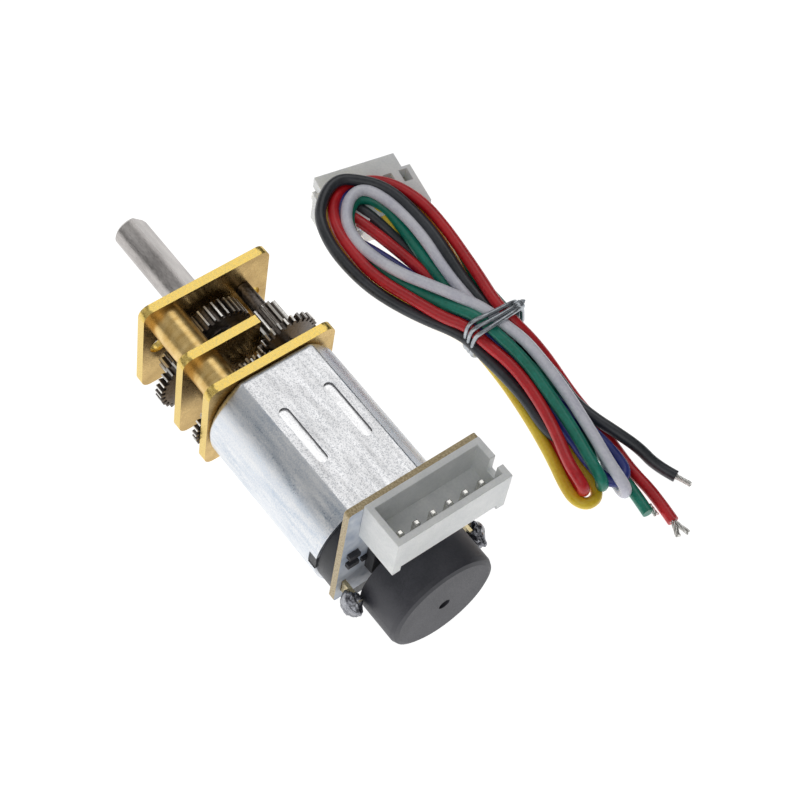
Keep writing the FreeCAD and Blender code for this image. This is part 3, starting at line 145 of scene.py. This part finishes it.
# ---------------------------------------------------------------- materials
class Paint:
    """One procedural material, laid out in millimetres of the object's own space."""

    def __init__(self, name, metallic=0.0, roughness=0.5, **sockets):
        self.material = bpy.data.materials.new(name)
        self.material.use_nodes = True
        self.tree = self.material.node_tree
        self.shader = self.tree.nodes["Principled BSDF"]
        self.shader.inputs["Metallic"].default_value = metallic
        self.shader.inputs["Roughness"].default_value = roughness
        for socket, value in sockets.items():
            self.shader.inputs[socket.replace("_", " ")].default_value = value
        place = self.add("ShaderNodeTexCoord").outputs["Object"]
        self.place = self.vector("MULTIPLY", place, (1 / MM, 1 / MM, 1 / MM))

    def add(self, kind, **settings):
        made = self.tree.nodes.new(kind)
        for key, value in settings.items():
            setattr(made, key, value)
        return made

    def put(self, value, socket):
        """A link from an output, or a plain value, into a socket."""
        if isinstance(value, bpy.types.NodeSocket):
            self.tree.links.new(value, socket)
        else:
            socket.default_value = value

    def vector(self, operation, a, b):
        made = self.add("ShaderNodeVectorMath", operation=operation)
        self.put(a, made.inputs[0])
        self.put(b, made.inputs[1])
        return made.outputs["Value" if operation in ("DOT_PRODUCT", "LENGTH") else "Vector"]

    def math(self, operation, a, b=0.0):
        made = self.add("ShaderNodeMath", operation=operation)
        self.put(a, made.inputs[0])
        self.put(b, made.inputs[1])
        return made.outputs[0]

    def noise(self, grain, detail=2.0, stretch=(1, 1, 1)):
        """Noise whose features are about grain millimetres, drawn out along an axis by stretch."""
        made = self.add("ShaderNodeTexNoise")
        scaled = self.vector("MULTIPLY", self.place, tuple(1 / (grain * s) for s in stretch))
        self.put(scaled, made.inputs["Vector"])
        made.inputs["Scale"].default_value = 1.0
        made.inputs["Detail"].default_value = detail
        return made.outputs["Fac"]

    def between(self, value, low, high, to_low=0.0, to_high=1.0):
        made = self.add("ShaderNodeMapRange")
        for key, number in (("Value", value), ("From Min", low), ("From Max", high),
                            ("To Min", to_low), ("To Max", to_high)):
            self.put(number, made.inputs[key])
        return made.outputs["Result"]

    def mix(self, factor, a, b):
        made = self.add("ShaderNodeMix", data_type="RGBA")
        self.put(factor, made.inputs["Factor"])
        for value, key in ((a, 6), (b, 7)):
            self.put(value if isinstance(value, bpy.types.NodeSocket) else (*value, 1.0),
                     made.inputs[key])
        return made.outputs[2]

    def facing(self, axis):
        """How squarely the surface faces along one of the object's axes, from 0 to 1."""
        normal = self.add("ShaderNodeNewGeometry").outputs["Normal"]
        return self.math("ABSOLUTE", self.vector("DOT_PRODUCT", normal, axis))

    def bump(self, height, strength, depth=0.02):
        made = self.add("ShaderNodeBump")
        made.inputs["Strength"].default_value = strength
        made.inputs["Distance"].default_value = depth * MM
        self.put(height, made.inputs["Height"])
        self.put(made.outputs["Normal"], self.shader.inputs["Normal"])

    def colour(self, value):
        self.put(value, self.shader.inputs["Base Color"])

    def rough(self, value):
        self.put(value, self.shader.inputs["Roughness"])


def plain_surface(name, low, high, blotch, grain, roughness, bump, metallic=0.0,
                  stretch=(1, 1, 1), depth=0.02, **sockets):
    """A surface whose colour drifts between two tones, with grain in its gloss and relief."""
    paint = Paint(name, metallic, **sockets)
    broad, fine = paint.noise(blotch, 3.0, stretch), paint.noise(grain, 2.0, stretch)
    tone = paint.math("ADD", paint.math("MULTIPLY", broad, 0.6), paint.math("MULTIPLY", fine, 0.4))
    paint.colour(paint.mix(paint.between(tone, 0.36, 0.64), low, high))
    paint.rough(paint.between(fine, 0.3, 0.7, *roughness))
    paint.bump(fine, bump, depth)
    return paint


def brass_sheet():
    """Blanked brass: a bright gold highlight painted on its edges, and faces in a duller brown."""
    paint = Paint("blanked_brass", 1.0)
    fine, broad = paint.noise(0.12), paint.noise(2.2, 3.0)
    face = paint.mix(paint.between(broad, 0.35, 0.65), (0.44, 0.29, 0.10), (0.66, 0.46, 0.18))
    # Painted highlight: the cut edges, where the surface does not face along X, get a brighter
    # gold than the faces.
    edge_highlight = paint.mix(paint.between(fine, 0.35, 0.65), (0.72, 0.50, 0.12), (0.86, 0.66, 0.22))
    paint.colour(paint.mix(paint.between(paint.facing((1, 0, 0)), 0.4, 0.9), edge_highlight, face))
    paint.rough(paint.between(fine, 0.3, 0.7, 0.22, 0.42))
    paint.bump(fine, 0.25)
    return paint


def can_steel():
    """Zinc-plated drawn steel: spangled and drawn along the can, with a highlight painted on the
    floors of its grooves and shade painted on their walls.
    """
    paint = Paint("zinc_can", 1.0)
    spangle = paint.noise(0.11, 4.0)
    rise = paint.vector("DOT_PRODUCT", paint.place, (0, 0, 1))
    up = paint.facing((0, 0, 1))
    drawn = paint.noise(0.5, 3.0, (7.0, 1, 1))
    cloud = paint.noise(3.5, 3.0)
    tone = paint.math("ADD", paint.math("MULTIPLY", spangle, 0.5),
                      paint.math("MULTIPLY", drawn, 0.5))
    cold = paint.mix(paint.between(cloud, 0.35, 0.65), (0.50, 0.57, 0.66), (0.68, 0.72, 0.78))
    plain = paint.mix(paint.between(tone, 0.38, 0.62), cold, (0.88, 0.89, 0.90))
    flat = paint.mix(paint.between(spangle, 0.36, 0.56), (0.45, 0.46, 0.48), (0.90, 0.90, 0.91))
    drawn_top = paint.mix(paint.math("GREATER_THAN", up, 0.99), plain, flat)
    # Painted light in the pressed grooves: a near-white highlight on their floors, and dark shade
    # on their walls.
    groove = paint.math("MULTIPLY", paint.math("GREATER_THAN", rise, GROOVE_LOW),
                        paint.math("LESS_THAN", rise, GROOVE_HIGH))
    groove_floor_highlight = paint.math("MULTIPLY", groove, paint.math("GREATER_THAN", up, 0.9))
    groove_wall_shade = paint.math("MULTIPLY", groove, paint.math("LESS_THAN", up, 0.5))
    pressed = paint.mix(groove_floor_highlight, drawn_top, (0.95, 0.95, 0.96))
    paint.colour(paint.mix(groove_wall_shade, pressed, (0.16, 0.16, 0.17)))
    paint.rough(paint.between(tone, 0.35, 0.65, 0.26, 0.46))
    paint.bump(paint.math("ADD", spangle, drawn), 0.22, 0.02)
    return paint


def gear_steel(name, centre, wheel_tip, pinion_tip):
    """Blackened hobbed steel, rubbed bright along the tips of its teeth."""
    paint = Paint(name, 1.0)
    fine = paint.noise(0.2, 3.0)
    dark = paint.mix(paint.between(fine, 0.35, 0.65), (0.10, 0.085, 0.075), (0.24, 0.21, 0.19))
    out = paint.vector("SUBTRACT", paint.place, (0.0, *centre))
    reach = paint.vector("LENGTH", paint.vector("MULTIPLY", out, (0, 1, 1)), (0, 0, 0))
    rubbed = None
    for tip in (wheel_tip, pinion_tip):
        band = paint.math("COMPARE", reach, tip)
        band.node.inputs[2].default_value = 0.09
        rubbed = band if rubbed is None else paint.math("MAXIMUM", rubbed, band)
    side = paint.between(paint.facing((1, 0, 0)), 0.5, 0.3)
    paint.colour(paint.mix(paint.math("MULTIPLY", rubbed, side), dark, (0.86, 0.84, 0.80)))
    paint.rough(paint.between(fine, 0.3, 0.7, 0.28, 0.5))
    paint.bump(fine, 0.2)
    return paint


def board_surface():
    """Glass-fibre board: pale mask on its faces and bare tan laminate at its cut edges."""
    paint = Paint("circuit_board", Coat_Weight=0.3)
    fine, broad = paint.noise(0.15), paint.noise(1.2, 3.0)
    face = paint.mix(paint.between(broad, 0.35, 0.65), (0.42, 0.48, 0.58), (0.66, 0.70, 0.76))
    cut = paint.mix(paint.between(fine, 0.35, 0.65), (0.34, 0.24, 0.10), (0.62, 0.50, 0.28))
    paint.colour(paint.mix(paint.between(paint.facing((1, 0, 0)), 0.4, 0.9), cut, face))
    paint.rough(paint.between(fine, 0.3, 0.7, 0.35, 0.6))
    paint.bump(fine, 0.2)
    return paint


def pvc(name, low, high):
    """Extruded PVC insulation: a faint grain and a soft gloss."""
    return plain_surface(name, low, high, 2.5, 0.25, (0.30, 0.44), 0.12,
                         Coat_Weight=0.15, Coat_Roughness=0.25)


brass_plate = brass_sheet()
brass_post = plain_surface("turned_brass", (0.62, 0.40, 0.13), (0.90, 0.66, 0.29), 1.5, 0.1,
                           (0.26, 0.40), 0.2, 1.0, (0.3, 1, 1))
screw_steel = plain_surface("screw_steel", (0.40, 0.40, 0.41), (0.66, 0.66, 0.67), 0.8, 0.12,
                            (0.25, 0.40), 0.2, 1.0)
shaft_steel = plain_surface("shaft_steel", (0.36, 0.34, 0.33), (0.62, 0.59, 0.57), 1.4, 0.13,
                            (0.27, 0.42), 0.35, 1.0, (3.0, 1, 1))
zinc_can = can_steel()
bronze = plain_surface("sintered_bronze", (0.38, 0.24, 0.13), (0.60, 0.42, 0.25), 0.6, 0.1,
                       (0.4, 0.6), 0.4, 1.0)
ferrite = plain_surface("ferrite", (0.05, 0.05, 0.06), (0.12, 0.12, 0.13), 0.8, 0.1,
                        (0.5, 0.7), 0.3)
charcoal = plain_surface("bonded_magnet", (0.030, 0.031, 0.040), (0.062, 0.062, 0.074), 2.5, 0.14,
                         (0.42, 0.60), 0.35)
laminations = plain_surface("laminations", (0.22, 0.23, 0.25), (0.44, 0.45, 0.48), 0.3, 0.1,
                            (0.35, 0.5), 0.3, 1.0, (0.35, 3, 3))
winding = plain_surface("enamelled_copper", (0.35, 0.10, 0.03), (0.72, 0.30, 0.12), 0.3, 0.12,
                        (0.2, 0.35), 0.6, 1.0, (4, 1, 1))
phenolic = plain_surface("phenolic", (0.13, 0.06, 0.03), (0.24, 0.13, 0.07), 0.8, 0.1,
                         (0.35, 0.5), 0.2)
copper = plain_surface("copper", (0.55, 0.26, 0.14), (0.84, 0.50, 0.34), 0.5, 0.1,
                       (0.2, 0.35), 0.2, 1.0)
spring_brass = plain_surface("spring_brass", (0.52, 0.42, 0.22), (0.80, 0.70, 0.45), 0.6, 0.1,
                             (0.25, 0.4), 0.2, 1.0)
black_nylon = plain_surface("black_nylon", (0.006, 0.007, 0.010), (0.022, 0.024, 0.032), 1.5,
                            0.15, (0.32, 0.48), 0.3)
board = board_surface()
white_nylon = plain_surface("white_nylon", (0.74, 0.76, 0.76), (0.88, 0.89, 0.88), 2.0, 0.2,
                            (0.34, 0.46), 0.15, Subsurface_Weight=0.25,
                            Subsurface_Radius=(0.8 * MM, 0.8 * MM, 0.7 * MM),
                            Subsurface_Scale=1.0)
tin = plain_surface("tin_plate", (0.55, 0.54, 0.50), (0.84, 0.83, 0.80), 0.4, 0.08,
                    (0.18, 0.32), 0.3, 1.0)
solder = plain_surface("solder", (0.10, 0.10, 0.12), (0.42, 0.43, 0.46), 0.5, 0.15,
                       (0.14, 0.36), 0.5, 1.0)
chip = plain_surface("moulded_epoxy", (0.012, 0.012, 0.015), (0.040, 0.040, 0.046), 0.6, 0.1,
                     (0.4, 0.6), 0.3)
strands = plain_surface("tinned_strands", (0.46, 0.45, 0.42), (0.82, 0.81, 0.78), 0.4, 0.08,
                        (0.2, 0.35), 0.3, 1.0)
galvanised = plain_surface("galvanised_wire", (0.24, 0.27, 0.30), (0.56, 0.59, 0.62), 0.7, 0.12,
                           (0.26, 0.44), 0.35, 1.0)
WIRE_PAINTS = {
    "black": pvc("pvc_black", (0.018, 0.021, 0.026), (0.045, 0.050, 0.060)),
    "red": pvc("pvc_red", (0.47, 0.004, 0.010), (0.68, 0.014, 0.022)),
    "green": pvc("pvc_green", (0.000, 0.16, 0.10), (0.004, 0.27, 0.19)),
    "white": pvc("pvc_white", (0.66, 0.66, 0.76), (0.84, 0.84, 0.90)),
    "yellow": pvc("pvc_yellow", (0.72, 0.47, 0.01), (0.88, 0.66, 0.04)),
    "blue": pvc("pvc_blue", (0.012, 0.022, 0.17), (0.03, 0.05, 0.30)),
}
OFFSET_RISE = math.sqrt(3.9 ** 2 - 3.5 ** 2)
CENTRE, LEFT, RIGHT = (0.0, 0.0), (3.5, -OFFSET_RISE), (-3.5, OFFSET_RISE)
# Each gear's axis, and the tip radii of its wheel and its pinion.
GEARS = {
    "motor_pinion": (CENTRE, 1.36, 1.36),
    "first_stage_gear": (LEFT, 2.86, 1.36),
    "second_stage_gear": (CENTRE, 2.86, 1.46),
    "third_stage_gear": (RIGHT, 2.76, 1.26),
    "fourth_stage_gear": (CENTRE, 2.96, 1.16),
    "fifth_stage_gear": (LEFT, 3.06, 1.16),
    "output_gear": (CENTRE, 3.06, 3.06),
}
PAINTS = {
    "front_plate": brass_plate, "middle_plate": brass_plate, "rear_plate": brass_plate,
    "front_posts": brass_post, "rear_posts": brass_post, "output_bushing": brass_post,
    "gearbox_screws": screw_steel, "motor_screws": screw_steel, "output_shaft": shaft_steel,
    "left_arbor": shaft_steel, "right_arbor": shaft_steel, "rotor_shaft": shaft_steel,
    "motor_can": zinc_can, "front_bearing": bronze, "rear_bearing": bronze,
    "stator_magnets": ferrite, "magnet_disc": charcoal, "armature_core": laminations,
    "armature_coils": winding, "commutator_hub": phenolic, "commutator_segments": copper,
    "brush_springs": spring_brass, "motor_terminals": spring_brass, "end_cap": black_nylon,
    "encoder_board": board, "header_shell": white_nylon, "header_pins": tin,
    "hall_sensors": chip, "board_components": chip, "plug_housing": white_nylon,
    "plug_contacts": tin,
}
PAINTS.update({name: gear_steel(f"{name}_steel", *gear) for name, gear in GEARS.items()})


def dress(piece, paint):
    """One material over the whole of a piece."""
    piece.data.materials.clear()
    piece.data.materials.append(paint.material)


for node_name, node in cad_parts.items():
    if node_name in PAINTS:
        dress(node, PAINTS[node_name])

# Edges that a tool or a mould leaves slightly round, and how round, in millimetres.
EASED = {"front_plate": 0.06, "middle_plate": 0.06, "rear_plate": 0.06, "header_shell": 0.08,
         "plug_housing": 0.08, "encoder_board": 0.04, "header_pins": 0.14}
for node_name, width in EASED.items():
    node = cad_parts[node_name]
    weld = node.modifiers.new("joined", "WELD")
    weld.merge_threshold = 0.001 * MM
    ease = node.modifiers.new("eased_edges", "BEVEL")
    ease.width = width * MM
    ease.segments = 2
    ease.limit_method = "ANGLE"
    ease.angle_limit = math.radians(50)
    ease.harden_normals = True


# ---------------------------------------------------------------- wires and tie
def soft_line(name, routes, radius, paint):
    """A round wire as a curve, along one or several routes given in millimetres."""
    curve = bpy.data.curves.new(name, "CURVE")
    curve.dimensions = "3D"
    curve.bevel_depth = radius * MM
    curve.bevel_resolution = 5
    curve.use_fill_caps = True
    for route in routes:
        spline = curve.splines.new("NURBS")
        spline.points.add(len(route) - 1)
        for point, place in zip(spline.points, route):
            point.co = (*(MM * x for x in place), 1.0)
        spline.order_u = 3
        spline.use_endpoint_u = True
        spline.resolution_u = 10
    piece = bpy.data.objects.new(name, curve)
    scene.collection.objects.link(piece)
    dress(piece, paint)
    return piece


def twisted_strands(name, start, end, count, spread, fray, seed):
    """Fine tinned strands twisted along a short line, that part a little at the tip."""
    rng = random.Random(seed)
    start, end = Vector(start), Vector(end)
    along = (end - start).normalized()
    side = along.orthogonal().normalized()
    up = along.cross(side)
    length = (end - start).length
    routes = []
    for i in range(count):
        route = []
        reach = rng.uniform(0.86, 1.0)
        for step in range(STRAND_STEPS + 1):
            t = step / STRAND_STEPS
            angle = 2 * math.pi * i / count + STRAND_TWIST * t
            off = spread * (1 - 0.45 * t) + fray * t ** 3 * rng.uniform(0.2, 1.0)
            route.append(start + along * (t * length * reach - 0.3 * (1 - t))
                         + (side * math.cos(angle) + up * math.sin(angle)) * off)
        routes.append(route)
    piece = soft_line(name, routes, STRAND_RADIUS, strands)
    piece.data.bevel_resolution = 2
    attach(piece, "frame")
    return piece


# The bare tips: where the strands start and where they end. Black's and red's start at the end
# of their insulation, and green's about half a millimetre beside it.
TIPS = {
    "black": [((-31.9, -24.9, -4.5), (-33.2, -25.4, -4.45))],
    "red": [((-34.9, -21.9, -4.5), (-36.4, -22.3, -4.6)),
            ((-34.9, -21.9, -4.5), (-36.3, -21.2, -4.4))],
    "green": [((-33.0, -21.2, -4.5), (-33.7, -21.15, -4.5))],
}
for colour, route in WIRES.items():
    tips = [twisted_strands(f"{colour}_strands_{i}", start, end, 7 if colour == "black" else 5,
                            STRAND_SPREAD, STRAND_FRAY, len(colour) + i)
            for i, (start, end) in enumerate(TIPS.get(colour, []))]
    wire = soft_line(f"{colour}_wire", [route], WIRE_RADIUS, WIRE_PAINTS[colour])
    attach(wire, "frame")
    if colour == "black":
        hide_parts("wire_bundle")
    if colour in TIPS:
        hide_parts(f"{colour}_wire_end")
    if colour == "black":
        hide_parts("tinned_wire_tips")


def tie_route():
    """Three wraps round the bundle in a rounded square, a little uneven along it."""
    route = []
    middle = (TIE_LOW + TIE_HIGH) / 2
    half_height = (TIE_HIGH - TIE_LOW) / 2
    for i in range(TIE_TURNS * TIE_STEPS + 1):
        turn = i / TIE_STEPS
        angle = 2 * math.pi * turn
        across = math.copysign(abs(math.cos(angle)) ** TIE_SQUARENESS, math.cos(angle))
        up = math.copysign(abs(math.sin(angle)) ** TIE_SQUARENESS, math.sin(angle))
        wander = TIE_WANDER * math.sin(2.1 * angle + 0.7) * (1 if up > 0 else 0.3)
        x = TIE_START + (TIE_END - TIE_START) * turn / TIE_TURNS + wander
        route.append((x, TIE_CENTRE - across * TIE_HALF_WIDTH, middle + up * half_height))
    return route


def twisted_pair(name, start, end, turns):
    """The two ends of the tie wound round each other."""
    start, end = Vector(start), Vector(end)
    along = (end - start).normalized()
    side = along.orthogonal().normalized()
    up = along.cross(side)
    routes = []
    for i in range(2):
        routes.append([start.lerp(end, step / 16)
                       + (side * math.cos(a) + up * math.sin(a)) * TIE_RADIUS * 0.95
                       for step in range(17)
                       for a in (math.pi * i + 2 * math.pi * turns * step / 16,)])
    piece = soft_line(name, routes, TIE_RADIUS, galvanised)
    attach(piece, "frame")
    return piece


tie = soft_line("tie_wire", [tie_route()], TIE_RADIUS, galvanised)
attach(tie, "frame")
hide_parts("wire_tie")
twisted_pair("tie_twist", (-13.0, -22.95, -1.2), (-13.1, -23.6, -1.5), 0.6)


# ---------------------------------------------------------------- solder
def solder_lump(name, centre, half, seed):
    """A dull, lumpy fillet of solder round one motor terminal."""
    mesh = bpy.data.meshes.new(name)
    form = bmesh.new()
    bmesh.ops.create_uvsphere(form, u_segments=40, v_segments=24, radius=1.0)
    for vertex in form.verts:
        place = vertex.co.copy()
        swell = 1 + 0.22 * noise.noise(place * 1.6 + Vector((seed, 0, 0)))
        swell += 0.10 * noise.noise(place * 4.0 + Vector((0, seed, 0)))
        taper = 1 - 0.30 * max(0.0, -place.x)
        spread = Vector((place.x * half[0], place.y * half[1] * taper, place.z * half[2] * taper))
        vertex.co = (Vector(centre) + spread * swell) * MM
    for face in form.faces:
        face.smooth = True
    form.to_mesh(mesh)
    form.free()
    piece = bpy.data.objects.new(name, mesh)
    scene.collection.objects.link(piece)
    dress(piece, solder)
    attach(piece, "frame")
    return piece


left_solder = solder_lump("left_solder", (-27.8, 5.6, -0.3), (1.15, 0.75, 1.3), 3.0)
solder_lump("right_solder", (-28.3, -5.8, -0.3), (1.2, 0.8, 1.2), 11.0)
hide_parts("solder_joints")


# ---------------------------------------------------------------- floor, light and camera
def white_floor():
    """A pale floor that glows a little, so that it washes out all but the contact shadows."""
    mesh = bpy.data.meshes.new("floor")
    reach, level = 2.0, -5.02 * MM
    mesh.from_pydata([(-reach, -reach, level), (reach, -reach, level), (reach, reach, level),
                      (-reach, reach, level)], [], [(0, 1, 2, 3)])
    piece = bpy.data.objects.new("floor", mesh)
    scene.collection.objects.link(piece)
    paint = Paint("floor_paper", roughness=0.9, Base_Color=(0.35, 0.35, 0.35, 1.0),
                  Emission_Color=(1.0, 1.0, 1.0, 1.0), Emission_Strength=0.95)
    dress(piece, paint)


def soft_world():
    """An even studio: bright overhead, greyer at the horizon and on the -Y side."""
    world = bpy.data.worlds.new("studio")
    scene.world = world
    world.use_nodes = True
    tree = world.node_tree
    background = tree.nodes["Background"]
    place = tree.nodes.new("ShaderNodeTexCoord").outputs["Generated"]
    split = tree.nodes.new("ShaderNodeSeparateXYZ")
    tree.links.new(place, split.inputs[0])
    rise = tree.nodes.new("ShaderNodeMapRange")
    side = tree.nodes.new("ShaderNodeMapRange")
    for ramp, source, values in ((rise, "Z", (0.0, 0.75, 0.30, 0.90)),
                                 (side, "Y", (-0.9, 0.4, 0.15, 1.0))):
        tree.links.new(split.outputs[source], ramp.inputs["Value"])
        for key, value in zip(("From Min", "From Max", "To Min", "To Max"), values):
            ramp.inputs[key].default_value = value
    product = tree.nodes.new("ShaderNodeMath")
    product.operation = "MULTIPLY"
    tree.links.new(rise.outputs[0], product.inputs[0])
    tree.links.new(side.outputs[0], product.inputs[1])
    tree.links.new(product.outputs[0], background.inputs["Color"])
    background.inputs["Strength"].default_value = 0.55


def softbox(name, direction, distance, width, height, power):
    """A rectangular lamp that looks at the middle of the motor from a direction."""
    lamp = bpy.data.lights.new(name, "AREA")
    lamp.shape = "RECTANGLE"
    lamp.size, lamp.size_y = width, height
    lamp.energy = power
    piece = bpy.data.objects.new(name, lamp)
    scene.collection.objects.link(piece)
    out = Vector(direction).normalized()
    piece.location = Vector((-10 * MM, -6 * MM, 0)) + out * distance
    piece.rotation_mode = "QUATERNION"
    piece.rotation_quaternion = out.to_track_quat("Z", "Y")


def photo_camera():
    """The camera: long lens, above and behind the motor's left side, slightly rolled."""
    azimuth, elevation, roll = (math.radians(a) for a in (-137.85, 56.36, 11.97))
    back = Vector((math.sin(azimuth) * math.cos(elevation),
                   -math.cos(azimuth) * math.cos(elevation), math.sin(elevation)))
    ahead = -back
    level = ahead.cross(Vector((0, 0, 1))).normalized()
    rolled = level * math.cos(roll) + level.cross(ahead) * math.sin(roll)
    aim = Vector((-10, 0, 0)) * MM + rolled * 9.97 * MM
    data = bpy.data.cameras.new("camera")
    data.sensor_width, data.lens = 36.0, 97.9
    data.clip_start, data.clip_end = 0.01, 10.0
    camera = bpy.data.objects.new("camera", data)
    scene.collection.objects.link(camera)
    camera.location = aim + back * 170.7 * MM
    camera.rotation_mode = "QUATERNION"
    camera.rotation_quaternion = back.to_track_quat("Z", "Y") @ Quaternion((0, 0, 1), roll)
    scene.camera = camera


white_floor()
soft_world()
softbox("overhead", (0.38, -0.42, 0.82), 0.45, 0.30, 0.22, 0.26)
softbox("key", (-0.5, 0.65, 0.75), 0.45, 0.25, 0.25, 0.16)
softbox("front_fill", (0.9, 0.5, 0.5), 0.5, 0.2, 0.2, 0.07)
scene.view_settings.view_transform = "Standard"
photo_camera()
